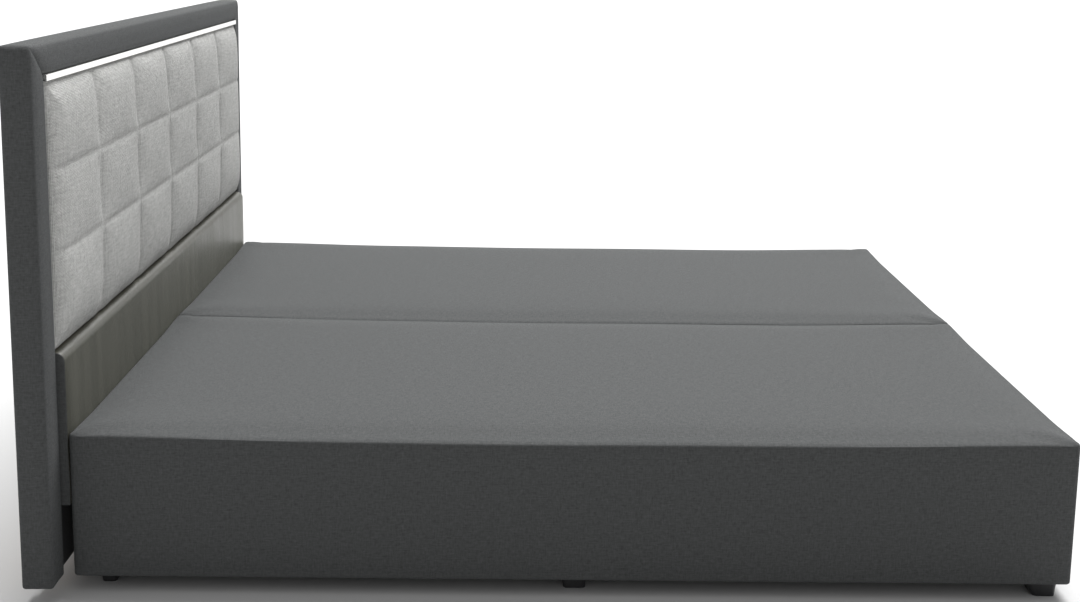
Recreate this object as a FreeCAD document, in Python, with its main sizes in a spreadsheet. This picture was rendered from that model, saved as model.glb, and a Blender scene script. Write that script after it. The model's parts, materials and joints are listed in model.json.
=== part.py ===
# Adjustable bed base: two upholstered boxes side by side, each with its own motor frame,
# and one padded headboard across both.
# Millimetres, +Z up, head at -X, foot at +X. The origin is on the floor, under the centre
# of the whole bed.
import FreeCAD, Part
import Sketcher
import math
import os
import re
from FreeCAD import Placement, Rotation, Vector

os.makedirs("parts", exist_ok=True)
doc = FreeCAD.newDocument("AdjustableBedBase")

# ---------------------------------------------------------------- driving dimensions
SIZES = {
    # the two boxes
    "box_length": 2000, "box_width": 899, "centre_gap": 2, "box_bottom": 35, "box_top": 333,
    "wall_foam": 12, "wall_board": 18, "dust_sheet": 2, "batten_wide": 60, "batten_high": 20,
    "foot_taper": 3, "foot_round": 9,
    # the moving deck on top of them
    "back_length": 740, "seat_length": 260, "thigh_length": 340,
    "deck_foam": 30, "deck_board": 12, "deck_clear": 1, "deck_inset": 2,
    "hinge_clear": 8, "board_round": 12, "back_notch": 21, "thigh_notch": 14,
    # steel frame
    "rail_wide": 20, "rail_high": 40, "crossbar": 30, "steel_wall": 2, "plate": 5,
    "knuckle_radius": 7, "pin_radius": 4, "pin_play": 0.05, "leaf_long": 24, "leaf_thick": 2,
    "leaf_half": 20, "hinge_half": 40, "leaf_play": 0.3, "hinge_spread": 280,
    "spreader": 25, "spreader_half": 350,
    # the lifting arms: pin on the deck, and its mate on the frame a quarter turn away
    "back_arm": 181, "back_drop": 38.5, "thigh_arm": 166.4, "thigh_drop": 35,
    "pivot_radius": 5, "eye_radius": 14, "eye_half": 12, "cheek_inside": 12.5,
    "link_drop": 90, "link_place": 200, "link_high": 24,
    "gear_start": 20, "gear_long": 66, "gear_half": 25, "gear_wide": 48,
    "case_radius": 16, "rod_radius": 10, "rod_inside": 92, "rod_head": 28,
    "motor_radius": 27, "motor_long": 110, "motor_place": 53,
    # headboard
    "board_width": 1930, "board_top": 1095, "board_thick": 62, "board_back_off": 18,
    "post_wide": 70, "rail_face": 59, "post_foam": 12, "trim_high": 12, "trim_proud": 4,
    "tuft_proud": 27, "tuft_low": 494, "low_proud": 16, "low_bottom": 180, "low_round": 18,
    "panel_ply": 12,
    "panel_clear": 2, "batten_thick": 28, "batten_face": 100, "batten_low": 55,
    "bracket_high": 90, "bracket_wide": 60, "bracket_steel": 4, "bracket_near": 230,
    "bracket_far": 670, "bolt_radius": 4, "bolt_play": 0.5, "bolt_head": 7.5,
}
sheet = doc.addObject("Spreadsheet::Sheet", "sizes")
for row, (alias, number) in enumerate(SIZES.items(), start=1):
    sheet.set(f"A{row}", alias)
    sheet.set(f"B{row}", str(number))
    sheet.setAlias(f"B{row}", alias)

# sizes that follow from the ones above
DERIVED = {
    "half_width": "box_width / 2",
    "unit_place": "(box_width + centre_gap) / 2",
    "head_end": "(board_thick + board_back_off - box_length) / 2",
    "deck_low": "box_top - deck_foam - deck_board",
    "wall_top": "box_top - deck_foam - deck_board - deck_clear",
    "hinge_up": "box_top - deck_foam - deck_board / 2",
    "wood_low": "box_bottom + dust_sheet",
    "wood_half": "box_width / 2 - wall_foam",
    "inner_half": "box_width / 2 - wall_foam - wall_board",
    "rail_inner": "box_width / 2 - wall_foam - wall_board - rail_wide",
    "hip_line": "back_length",
    "seat_end": "back_length + seat_length",
    "knee_line": "back_length + seat_length + thigh_length",
    "post_front": "-board_back_off",
    "post_rear": "-board_back_off - board_thick",
    "post_inner": "board_width / 2 - post_wide",
    "rail_low": "board_top - rail_face",
}
KNOWN = re.compile(r"\b(" + "|".join([*SIZES, *DERIVED]) + r")\b")


def formula(text):
    """An expression in which every named size is read from the sheet."""
    return KNOWN.sub(r"sizes.\1", str(text))


for row, (alias, text) in enumerate(DERIVED.items(), start=len(SIZES) + 1):
    sheet.set(f"A{row}", alias)
    sheet.set(f"B{row}", "=" + text)
    sheet.setAlias(f"B{row}", alias)
doc.recompute()


def size(alias):
    return float(sheet.get(alias))


# ---------------------------------------------------------------- small building blocks
def bind(item, formulas):
    for name, text in formulas.items():
        item.setExpression(name, formula(text))
    return item


def put(item, at):
    """Move an object to a place given as three formulas."""
    x, y, z = at
    bind(item, {"Placement.Base.x": x, "Placement.Base.y": y, "Placement.Base.z": z})
    return item


def box(low, high):
    """A block between two corners, each three formulas."""
    item = doc.addObject("Part::Box", "block")
    names = ("Length", "Width", "Height")
    bind(item, {name: f"({b}) - ({a})" for name, a, b in zip(names, low, high)})
    return put(item, low)


TURNS = {"x": Rotation(Vector(0, 1, 0), 90), "y": Rotation(Vector(1, 0, 0), -90), "z": Rotation()}


def round_bar(axis, radius, start, length):
    """A cylinder from start along +x, +y or +z."""
    item = doc.addObject("Part::Cylinder", "round")
    bind(item, {"Radius": radius, "Height": length})
    item.Placement.Rotation = TURNS[axis]
    return put(item, start)


def joined(items):
    fused = doc.addObject("Part::MultiFuse", "joined")
    fused.Shapes = items
    return fused


def cut(base, tools):
    result = doc.addObject("Part::Cut", "cut")
    result.Base = base
    result.Tool = joined(tools) if len(tools) > 1 else tools[0]
    return result


def square_tube(low, high, along):
    """A hollow bar between two corners, open at its ends."""
    walls = [f"({a}) + steel_wall" for a in low]
    inner = [f"({b}) - steel_wall" for b in high]
    walls[along] = f"({low[along]}) - 1"
    inner[along] = f"({high[along]}) + 1"
    return cut(box(low, high), [box(walls, inner)])


def side_profile(points, near, wide):
    """A prism across the bed: an outline of (x, z) formulas, from y = near over a width."""
    body = doc.addObject("PartDesign::Body", "plate")
    sketch = body.newObject("Sketcher::SketchObject", "outline")
    plane = [f for f in body.Origin.OriginFeatures if f.Role == "XZ_Plane"][0]
    sketch.AttachmentSupport = [(plane, "")]
    sketch.MapMode = "FlatFace"
    count = len(points)
    for i in range(count):
        turn = 2 * math.pi / count
        start = Vector(200 + 50 * math.cos(i * turn), 200 + 50 * math.sin(i * turn), 0)
        end = Vector(200 + 50 * math.cos((i + 1) * turn), 200 + 50 * math.sin((i + 1) * turn), 0)
        sketch.addGeometry(Part.LineSegment(start, end), False)
    for i in range(count):
        sketch.addConstraint(Sketcher.Constraint("Coincident", i, 2, (i + 1) % count, 1))
    for i, point in enumerate(points):
        for direction, text in zip(("DistanceX", "DistanceY"), point):
            number = sketch.addConstraint(Sketcher.Constraint(direction, -1, 1, i, 1, 200.0))
            sketch.setExpression(f"Constraints[{number}]", formula(text))
    pad = body.newObject("PartDesign::Pad", "pad")
    pad.Profile = sketch
    pad.Reversed = True
    bind(pad, {"Length": wide})
    return put(body, ("0", near, "0"))


def softened(item, radius, wanted):
    """The same piece with its wanted edges rounded; wanted tests an edge's middle and run."""
    doc.recompute()
    chosen = []
    for number, edge in enumerate(item.Shape.Edges, start=1):
        first, last = edge.Vertexes[0].Point, edge.Vertexes[-1].Point
        if wanted((first + last) / 2, last - first):
            chosen.append((number, size(radius), size(radius)))
    rounded = doc.addObject("Part::Fillet", "rounded")
    rounded.Base = item
    rounded.Edges = chosen
    return rounded


NODES = []


def node(label, items, at=("0", "0", "0"), pitch=0.0):
    """One sub-part: its pieces gathered, named and moved to their place on the bed."""
    group = doc.addObject("Part::Compound", "node_" + label)
    group.Links = items
    group.Label = label
    group.Placement.Rotation = Rotation(Vector(0, 1, 0), pitch)
    put(group, at)
    NODES.append(group)
    return group


# ---------------------------------------------------------------- one box
def walls(label, at):
    """Foam and cover on the four sides of a box."""
    low, high = "box_bottom", "wall_top"
    long_walls = [
        box(("0", a, low), ("box_length", b, high))
        for a, b in (("-half_width", "-wood_half"), ("wood_half", "half_width"))
    ]
    head = cut(box(("0", "-wood_half", low), ("wall_foam", "wood_half", high)),
               bolt_holes(label, "-1", "wall_foam + 2"))
    foot = box(("box_length - wall_foam", "-wood_half", low), ("box_length", "wood_half", high))
    node(label + "_wall_covers", [*long_walls, head, foot], at)


def bolt_places(label):
    """Where the headboard bolts meet one box, across it: the far unit is mirrored."""
    mirror = -1 if label == "right" else 1
    return [f"{mirror} * ({name}) - ({mirror}) * unit_place"
            for name in ("bracket_near", "bracket_far")]


def bolt_holes(label, start, length):
    level = "batten_low + batten_face / 2"
    return [round_bar("x", "bolt_radius + bolt_play", (start, y, level), length)
            for y in bolt_places(label)]


def carcass(label, at):
    """Boards of the wooden box, and the cross battens that hold its feet."""
    start, end = "wall_foam", "box_length - wall_foam"
    boards = [box((start, a, "wood_low"), (end, b, "wall_top"))
              for a, b in (("-wood_half", "-inner_half"), ("inner_half", "wood_half"))]
    head = box((start, "-inner_half", "wood_low"), (f"{start} + wall_board", "inner_half", "wall_top"))
    boards.append(cut(head, bolt_holes(label, "wall_foam - 1", "wall_board + 2")))
    boards.append(box((f"{end} - wall_board", "-inner_half", "wood_low"),
                      (end, "inner_half", "wall_top")))
    inside = f"{start} + wall_board"
    for place in (inside, "(box_length - batten_wide) / 2", f"{end} - wall_board - batten_wide"):
        boards.append(box((place, "-inner_half", "wood_low"),
                          (f"{place} + batten_wide", "inner_half", "wood_low + batten_high")))
    node(label + "_box_frame", boards, at)
    sheet_low = ("wall_foam", "-wood_half", "box_bottom")
    sheet_high = ("box_length - wall_foam", "wood_half", "box_bottom + dust_sheet")
    node(label + "_dust_cover", [box(sheet_low, sheet_high)], at)


# feet: place along the box, inset from its long side, length, width, slope of the inner end
FEET = ((55, 74, 36, 50, 4), (1000, 64, 53, 52, 5), (1947, 50, 67, 60, 18))


def foot_block(x, y, long, wide, slope):
    """A moulded glide: narrower at the floor, with its inner end sloped most."""
    foot = doc.addObject("Part::Wedge", "foot")
    bind(foot, {
        "Xmin": f"{slope} - {long} / 2", "Xmax": f"{long} / 2 - foot_taper",
        "Zmin": f"foot_taper - {wide} / 2", "Zmax": f"{wide} / 2 - foot_taper",
        "Ymin": 0, "Ymax": "box_bottom",
        "X2min": -long / 2, "X2max": long / 2, "Z2min": -wide / 2, "Z2max": wide / 2,
    })
    foot.Placement.Rotation = Rotation(Vector(1, 0, 0), 90)
    put(foot, (x, y, "0"))
    return softened(foot, "foot_round", lambda middle, run: abs(run.z) > 20)


def feet(label, at):
    glides = []
    for x, inset, long, wide, slope in FEET:
        for side in (-1, 1):
            y = f"{side} * (half_width - {inset})"
            glides.append(foot_block(x, y, long, wide, slope))
    node(label + "_feet", glides, at)


# ---------------------------------------------------------------- deck sections
def board(start, end, outer=None):
    """The board of a section. At its outer end, if it has one, it follows the soft corners of
    the cover."""
    panel = box((start, "-half_width + deck_inset", "deck_low"),
                (end, "half_width - deck_inset", "deck_low + deck_board"))
    if outer is None:
        return panel
    return softened(panel, "board_round",
                    lambda middle, run: abs(run.z) > 1 and abs(middle.x - outer) < 1)


def foam(start, end, start_notch="0", end_notch="0"):
    """The padding of a section. A notch leans its end back, so that it can fold upwards."""
    low, high = "deck_low + deck_board", "box_top"
    outline = [(start, low), (end, low), (f"({end}) - ({end_notch})", high),
               (f"({start}) + ({start_notch})", high)]
    return side_profile(outline, "-half_width", "box_width")


def deck(label, at):
    """Boards and padding of the back, seat, thigh and calf sections."""
    rim = "deck_inset"
    sections = {
        "back": (rim, "hip_line - hinge_clear", "0", "back_notch"),
        "seat": ("hip_line + hinge_clear", "seat_end - hinge_clear", "back_notch", "thigh_notch"),
        "thigh": ("seat_end + hinge_clear", "knee_line - hinge_clear", "thigh_notch", "0"),
        "calf": ("knee_line + hinge_clear", f"box_length - {rim}", "0", "0"),
    }
    outer_ends = {"back": size("deck_inset"), "calf": size("box_length") - size("deck_inset")}
    for name, (start, end, start_notch, end_notch) in sections.items():
        node(f"{label}_{name}_board", [board(start, end, outer_ends.get(name))], at)
        outer_start = "0" if name == "back" else start
        outer_end = "box_length" if name == "calf" else end
        pad = foam(outer_start, outer_end, start_notch, end_notch)
        node(f"{label}_{name}_pad", [pad], at)


# ---------------------------------------------------------------- hinges
def hinge_half(line, y, side, outer):
    """One leaf of a hinge with its knuckles. side is +1 when the leaf points to the foot."""
    def span(near, far):
        ends = [f"({line}) + {side} * ({near})", f"({line}) + {side} * ({far})"]
        return ends if side > 0 else ends[::-1]
    under = ("deck_low - leaf_thick", "deck_low")
    if outer:
        reach = [("-hinge_half", "-leaf_half - leaf_play"), ("leaf_half + leaf_play", "hinge_half")]
        x0, x1 = span("hinge_clear", "leaf_long")
        parts = [box((x0, f"{y} - hinge_half", under[0]), (x1, f"{y} + hinge_half", under[1]))]
    else:
        reach = [("-leaf_half", "leaf_half")]
        parts = []
    t0, t1 = span("0", "hinge_clear" if outer else "leaf_long")
    for near, far in reach:
        parts.append(box((t0, f"{y} + {near}", under[0]), (t1, f"{y} + {far}", under[1])))
        start = (line, f"{y} + {near}", "hinge_up")
        parts.append(round_bar("y", "knuckle_radius", start, f"({far}) - ({near})"))
    bore = round_bar("y", "pin_radius + pin_play", (line, f"{y} - hinge_half - 1", "hinge_up"),
                     "2 * hinge_half + 2")
    return cut(joined(parts), [bore])


def hinge_line(line, side, outer):
    return [hinge_half(line, f"({s} * hinge_spread)", side, outer) for s in (-1, 1)]


def hinge_pins(line):
    """Headed pins, one in each hinge of a line."""
    pins = []
    for s in (-1, 1):
        low = f"{s} * hinge_spread - hinge_half - 2"
        shank = round_bar("y", "pin_radius", (line, low, "hinge_up"), "2 * hinge_half + 4")
        head = round_bar("y", "pin_radius + 2", (line, f"{low} - 2", "hinge_up"), "2")
        pins.append(joined([shank, head]))
    return pins


def hinges(label, at):
    """The leaves of each section; the pins stay with the leaf that has two knuckles."""
    node(label + "_seat_hinges", [*hinge_line("hip_line", 1, True),
                                  *hinge_line("seat_end", -1, True),
                                  *hinge_pins("hip_line"), *hinge_pins("seat_end")], at)
    node(label + "_back_hinges", hinge_line("hip_line", -1, False), at)
    node(label + "_thigh_hinges", [*hinge_line("seat_end", 1, False),
                                   *hinge_line("knee_line", -1, True),
                                   *hinge_pins("knee_line")], at)


# ---------------------------------------------------------------- steel frame
def cheek_pair(points, holes):
    """Two plates, one each side of the motor eye, with round holes through both."""
    plates = [side_profile(points, near, "plate")
              for near in ("cheek_inside", "-cheek_inside - plate")]
    drills = [round_bar("y", radius, (x, "-cheek_inside - plate - 1", z),
                        "2 * cheek_inside + 2 * plate + 2") for x, z, radius in holes]
    return [cut(plate, drills) for plate in plates] if holes else plates


def frame_pivot(x, z, bar_top):
    """Cheeks standing on a cross bar, with the pivot pin that carries a motor."""
    outline = [(f"{x} - 15", bar_top), (f"{x} + 15", bar_top), (f"{x} + 13", z),
               (f"{x} + 7", f"{z} + 12"), (f"{x} - 7", f"{z} + 12"), (f"{x} - 13", z)]
    pin = round_bar("y", "pivot_radius", (x, "-cheek_inside - plate - 4", z),
                    "2 * (cheek_inside + plate + 4)")
    return joined([*cheek_pair(outline, []), pin])


def steel_frame(label, at):
    """Side rails, cross bars, the two motor pivots and the hangers of the calf links."""
    rails = [square_tube(("40", a, "wall_top - rail_high"), ("box_length - 40", b, "wall_top"), 0)
             for a, b in (("-inner_half", "-rail_inner"), ("rail_inner", "inner_half"))]
    seat_bars = []
    for x in ("hip_line + leaf_long + 1", "seat_end - leaf_long - 1 - crossbar"):
        seat_bars.append(square_tube((x, "-rail_inner", "deck_low - crossbar"),
                                     (f"{x} + crossbar", "rail_inner", "deck_low"), 1))
    supports = []
    for x, z in (("(hip_line + back_drop)", "(hinge_up - back_arm)"),
                 ("(seat_end - thigh_drop)", "(hinge_up - thigh_arm)")):
        low = f"{z} - 56"
        bar_top = f"{low} + crossbar"
        supports.append(square_tube((f"{x} - crossbar / 2", "-inner_half", low),
                                    (f"{x} + crossbar / 2", "inner_half", bar_top), 1))
        supports.append(frame_pivot(x, z, bar_top))
    node(label + "_steel_frame", [*rails, *seat_bars, *supports, *link_hangers()], at)


def link_hangers():
    """Plates under the seat that hold the calf links, one each side."""
    hangers = []
    bar_low = "deck_low - crossbar"
    pivot = "hinge_up - link_drop"
    start = "seat_end - leaf_long - 1 - crossbar"
    outline = [(start, bar_low), (f"{start} + crossbar", bar_low), ("seat_end + 12", pivot),
               ("seat_end + 6", f"{pivot} - 11"), ("seat_end - 6", f"{pivot} - 11"),
               ("seat_end - 12", pivot)]
    for s in (-1, 1):
        near = "link_place" if s > 0 else "-link_place - plate"
        plate = side_profile(outline, near, "plate")
        inside = "link_place + 1" if s > 0 else "-link_place - 2 * plate - 3"
        pin = round_bar("y", "pivot_radius", ("seat_end", inside, pivot), "2 * plate + 2")
        hangers.append(joined([plate, pin]))
    return hangers


def calf_links(label, at):
    """Flat bars parallel to the thigh section that keep the calf section level."""
    bars = []
    height = "hinge_up - link_drop"
    for s in (-1, 1):
        near = "link_place + plate + 1" if s > 0 else "-link_place - 2 * plate - 1"
        bar = [box(("seat_end", near, f"{height} - link_high / 2 + 4"),
                   ("knee_line", f"{near} + plate", f"{height} + link_high / 2 - 4"))]
        bar += [round_bar("y", "link_high / 2", (x, near, height), "plate")
                for x in ("seat_end", "knee_line")]
        holes = [round_bar("y", f"pivot_radius + {play}", (x, f"{near} - 1", height), "plate + 2")
                 for x, play in (("seat_end", "pin_play"), ("knee_line", "leaf_play"))]
        bars.append(cut(joined(bar), holes))
    node(label + "_calf_links", bars, at)


# ---------------------------------------------------------------- lifting gear on the deck
def spreader(start):
    return square_tube((start, "-spreader_half", "deck_low - spreader"),
                       (f"{start} + spreader", "spreader_half", "deck_low"), 1)


def lift_bracket(label, name, line, side, arm, drop, travel, at):
    """Spreader bar and two slotted cheeks under a section; the slot is the rod's free lift."""
    pin_x = f"({line} + {side} * {arm})"
    pin_z = f"(hinge_up - {drop})"
    wide, reach = 22, 52
    inner, outer = (f"{pin_x} - {side} * {reach}", f"{pin_x} + {side} * {wide}")
    outline = [(inner, "deck_low"), (inner, "deck_low - 12"),
               (f"{pin_x} - {side} * 24", f"{pin_z} - 20"),
               (f"{pin_x} + {side} * 10", f"{pin_z} - 16"),
               (outer, f"{pin_z} - 2"), (outer, "deck_low")]
    bar_start = outer if side > 0 else f"{outer} - spreader"
    # the slot runs from the pin's end place towards the frame pivot
    lean = math.radians(30) - math.atan2(size(drop), size(arm))
    dx, dz = -side * travel * math.cos(lean), -travel * math.sin(lean)
    slot_radius = "pivot_radius + 1.2"
    ends = [(pin_x, pin_z, slot_radius), (f"{pin_x} + {dx}", f"{pin_z} + {dz}", slot_radius)]
    middle = [(f"{pin_x} + {dx * i / 4}", f"{pin_z} + {dz * i / 4}", slot_radius)
              for i in (1, 2, 3)]
    cheeks = cheek_pair(outline, [*ends, *middle])
    node(f"{label}_{name}_lift_bracket", [spreader(bar_start), *cheeks], at)


def calf_bracket(label, at):
    """Hinge leaves and spreader bar of the calf section, and the lugs that keep it level."""
    pivot = "hinge_up - link_drop"
    outline = [("knee_line + 14", "deck_low"), ("knee_line - 10", pivot),
               ("knee_line - 6", f"{pivot} - 10"), ("knee_line + 6", f"{pivot} - 10"),
               ("knee_line + 12", f"{pivot} - 3"), ("knee_line + 90", "deck_low")]
    lugs = [*hinge_line("knee_line", 1, False), spreader("knee_line + 90")]
    for s in (-1, 1):
        near = "link_place + 2 * plate + 2" if s > 0 else "-link_place - 3 * plate - 2"
        pin_start = "link_place + plate + 0.5" if s > 0 else "-link_place - 3 * plate - 1"
        pin = round_bar("y", "pivot_radius", ("knee_line", pin_start, pivot), "2 * plate + 0.5")
        lugs.append(joined([side_profile(outline, near, "plate"), pin]))
    node(label + "_calf_bracket", lugs, at)


# ---------------------------------------------------------------- motors
def unit_shift(at, x, z):
    """A place on one box, moved to the bed."""
    return (f"{at[0]} + {x}", at[1], f"{z}")


def actuator(label, name, line, side, arm, drop, at):
    """A linear drive along its own x axis: eye, gearbox, motor and case, then the rod."""
    reach = math.hypot(size(arm) + size(drop), size(arm) - size(drop))
    eye = round_bar("y", "eye_radius", ("0", "-eye_half", "0"), "2 * eye_half")
    neck = box(("0", "-eye_half", "-10"), ("gear_start + 2", "eye_half", "10"))
    gearbox = box(("gear_start", "-gear_wide / 2", "-gear_half"),
                  ("gear_start + gear_long", "gear_wide / 2", "gear_half"))
    case_end = reach - 46
    case = round_bar("x", "case_radius", ("gear_start + gear_long - 1", "0", "0"),
                     f"{case_end} - gear_start - gear_long + 1")
    collar = round_bar("x", "case_radius + 3", (f"{case_end} - 12", "0", "0"), "12")
    motor = round_bar("y", "motor_radius", ("motor_place", "gear_wide / 2 - 1", "0"),
                      "motor_long")
    cap = round_bar("y", "motor_radius - 4",
                    ("motor_place", "gear_wide / 2 + motor_long - 2", "0"), "8")
    bores = [round_bar("y", "pivot_radius + pin_play", ("0", "-eye_half - 1", "0"),
                       "2 * eye_half + 2"),
             round_bar("x", "rod_radius + pin_play", ("rod_inside - 4", "0", "0"), f"{reach}")]
    body = cut(joined([eye, neck, gearbox, case, collar, motor, cap]), bores)
    rod = round_bar("x", "rod_radius", ("rod_inside", "0", "0"), f"{reach} - rod_inside - 12")
    head = box((f"{reach} - rod_head / 2", "-eye_half", "-11"),
               (f"{reach} + rod_head / 2", "eye_half", "11"))
    pin = round_bar("y", "pivot_radius", (f"{reach}", "-cheek_inside - plate - 4", "0"),
                    "2 * (cheek_inside + plate + 4)")
    pivot = unit_shift(at, f"({line} - {side} * {drop})", f"(hinge_up - {arm})")
    rise = math.atan2(size(arm) - size(drop), side * (size(arm) + size(drop)))
    pitch = -math.degrees(rise)
    node(f"{label}_{name}_motor", [body], pivot, pitch)
    node(f"{label}_{name}_rod", [joined([rod, head, pin])], pivot, pitch)


def control_box(label, at):
    """The box that the motors plug into, under the fixed seat."""
    low = ("hip_line + leaf_long + crossbar + 8", "190", "deck_low - 38")
    high = ("seat_end - leaf_long - crossbar - 8", "330", "deck_low")
    node(label + "_control_box", [box(low, high)], at)


def bed_unit(label, direction):
    at = ("head_end", f"{direction} * unit_place", "0")
    walls(label, at)
    carcass(label, at)
    feet(label, at)
    deck(label, at)
    hinges(label, at)
    steel_frame(label, at)
    calf_links(label, at)
    lift_bracket(label, "back", "hip_line", -1, "back_arm", "back_drop", 11, at)
    lift_bracket(label, "thigh", "seat_end", 1, "thigh_arm", "thigh_drop", 4, at)
    calf_bracket(label, at)
    actuator(label, "head", "hip_line", -1, "back_arm", "back_drop", at)
    actuator(label, "leg", "seat_end", 1, "thigh_arm", "thigh_drop", at)
    control_box(label, at)


# ---------------------------------------------------------------- headboard
def padded_post(direction):
    """Foam and cover around one wooden post."""
    inner, outer = ("post_inner", "board_width / 2")
    if direction < 0:
        low_y, high_y = (f"-{outer}", f"-{inner}")
    else:
        low_y, high_y = (inner, outer)
    shell = box(("post_rear", low_y, "box_bottom"), ("post_front", high_y, "rail_low"))
    core = post_core(low_y, high_y)
    return cut(shell, [core])


def post_core(low_y, high_y):
    return box(("post_rear + post_foam", f"{low_y} + post_foam", "box_bottom + 3"),
               ("post_front - post_foam", f"{high_y} - post_foam", "rail_low"))


def headboard():
    at = ("head_end", "0", "0")
    node("headboard_posts", [padded_post(d) for d in (-1, 1)], at)
    rail_core = (("post_rear + post_foam", "-board_width / 2 + post_foam", "rail_low"),
                 ("post_front - post_foam", "board_width / 2 - post_foam",
                  "board_top - post_foam"))
    rail = box(("post_rear", "-board_width / 2", "rail_low"),
               ("post_front", "board_width / 2", "board_top"))
    node("headboard_top_rail", [cut(rail, [box(*rail_core)])], at)

    timbers = [post_core("-board_width / 2", "-post_inner"), post_core("post_inner", "board_width / 2"),
               box(*rail_core)]
    batten_rear = "post_front - 14 - panel_ply - batten_thick"
    batten_front = "post_front - 14 - panel_ply"
    half = "post_inner"
    low_batten = box((batten_rear, f"-{half}", "batten_low"),
                     ("post_front - 14", half, "batten_low + batten_face"))
    drills = [round_bar("x", "bolt_radius + bolt_play",
                        (f"{batten_rear} - 1", f"{s} * {y}", "batten_low + batten_face / 2"),
                        "batten_thick + panel_ply + 2")
              for s in (-1, 1) for y in ("bracket_near", "bracket_far")]
    timbers.append(cut(low_batten, drills))
    for low in ("tuft_low - 30", "rail_low - 60"):
        timbers.append(box((batten_rear, f"-{half}", low), (batten_front, half, f"{low} + 60")))
    node("headboard_frame", timbers, at)

    ply_front = "post_front - 14"
    node("headboard_panel_board",
         [box((batten_front, f"-{half}", "low_bottom"), (ply_front, half, "rail_low"))], at)
    side = f"{half} - panel_clear"
    node("headboard_tufted_panel",
         [box((ply_front, f"-({side})", "tuft_low + 2"),
              ("post_front + tuft_proud", side, "rail_low - trim_high - 1"))], at)
    lower = box((ply_front, f"-({side})", "low_bottom"),
                ("post_front + low_proud", side, "tuft_low - 1"))
    front, top = size("post_front") + size("low_proud"), size("tuft_low") - 1
    lower = softened(lower, "low_round",
                     lambda middle, run: abs(middle.x - front) < 0.01 and abs(middle.z - top) < 0.01)
    node("headboard_lower_panel", [lower], at)
    node("headboard_trim_strip",
         [box((ply_front, f"-{half} + 1", "rail_low - trim_high"),
              ("post_front + trim_proud", f"{half} - 1", "rail_low"))], at)
    node("headboard_back_sheet",
         [box(("post_rear + 2", f"-({half})", "batten_low + batten_face + 4"),
              ("post_rear + 6", half, "rail_low"))], at)

    brackets, bolts = [], []
    level = "batten_low + batten_face / 2"
    low_z = f"{level} - bracket_high / 2"
    for s in (-1, 1):
        for name in ("bracket_near", "bracket_far"):
            y = f"({s} * {name})"
            channel = [box((ply_front, f"{y} - bracket_wide / 2", low_z),
                           (f"{ply_front} + bracket_steel", f"{y} + bracket_wide / 2",
                            f"{low_z} + bracket_high")),
                       box(("-bracket_steel", f"{y} - bracket_wide / 2", low_z),
                           ("0", f"{y} + bracket_wide / 2", f"{low_z} + bracket_high")),
                       box((ply_front, f"{y} - bracket_wide / 2", low_z),
                           ("0", f"{y} - bracket_wide / 2 + bracket_steel",
                            f"{low_z} + bracket_high")),
                       box((ply_front, f"{y} + bracket_wide / 2 - bracket_steel", low_z),
                           ("0", f"{y} + bracket_wide / 2", f"{low_z} + bracket_high"))]
            drill = round_bar("x", "bolt_radius + bolt_play", (f"{ply_front} - 1", y, level),
                              "board_back_off + 20")
            brackets.append(cut(joined(channel), [drill]))
            shank = round_bar("x", "bolt_radius", (f"{batten_rear} - 2", y, level),
                              "wall_foam + wall_board + board_back_off + 14 + panel_ply"
                              " + batten_thick + 12")
            head = round_bar("x", "bolt_head", (f"{batten_rear} - 7", y, level), "6.5")
            nut = round_bar("x", "bolt_head", ("wall_foam + wall_board + 1", y, level), "6.5")
            bolts.append(joined([shank, head, nut]))
    node("headboard_brackets", brackets, at)
    node("headboard_bolts", bolts, at)


# ---------------------------------------------------------------- build, check and write
for label, direction in (("right", -1), ("left", 1)):
    bed_unit(label, direction)
headboard()
doc.recompute()

failed = [item.Label for item in doc.Objects
          if "Invalid" in item.State or "Error" in item.State]
if failed:
    raise SystemExit("failed objects: " + ", ".join(failed))
for item in NODES:
    shape = item.Shape
    if shape.isNull() or not shape.isValid() or not shape.Solids:
        raise SystemExit("bad shape: " + item.Label)
    shape.exportStep(f"parts/{item.Label}.step")

whole = Part.makeCompound([item.Shape for item in NODES]).optimalBoundingBox(False)
print(len(NODES), "nodes")
print(f"x {whole.XMin:.1f}..{whole.XMax:.1f}  y {whole.YMin:.1f}..{whole.YMax:.1f}"
      f"  z {whole.ZMin:.1f}..{whole.ZMax:.1f}")
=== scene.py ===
# %% [markdown]
# # An adjustable bed base
# Two upholstered boxes stand side by side with one padded headboard across both. Under each cover
# is a motor frame that lifts the back and the legs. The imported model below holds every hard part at
# its true place, and this file dresses it: fabric, foam, wood, steel and light.

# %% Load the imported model
import bpy
import json
import math
from mathutils import Matrix, Vector


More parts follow.
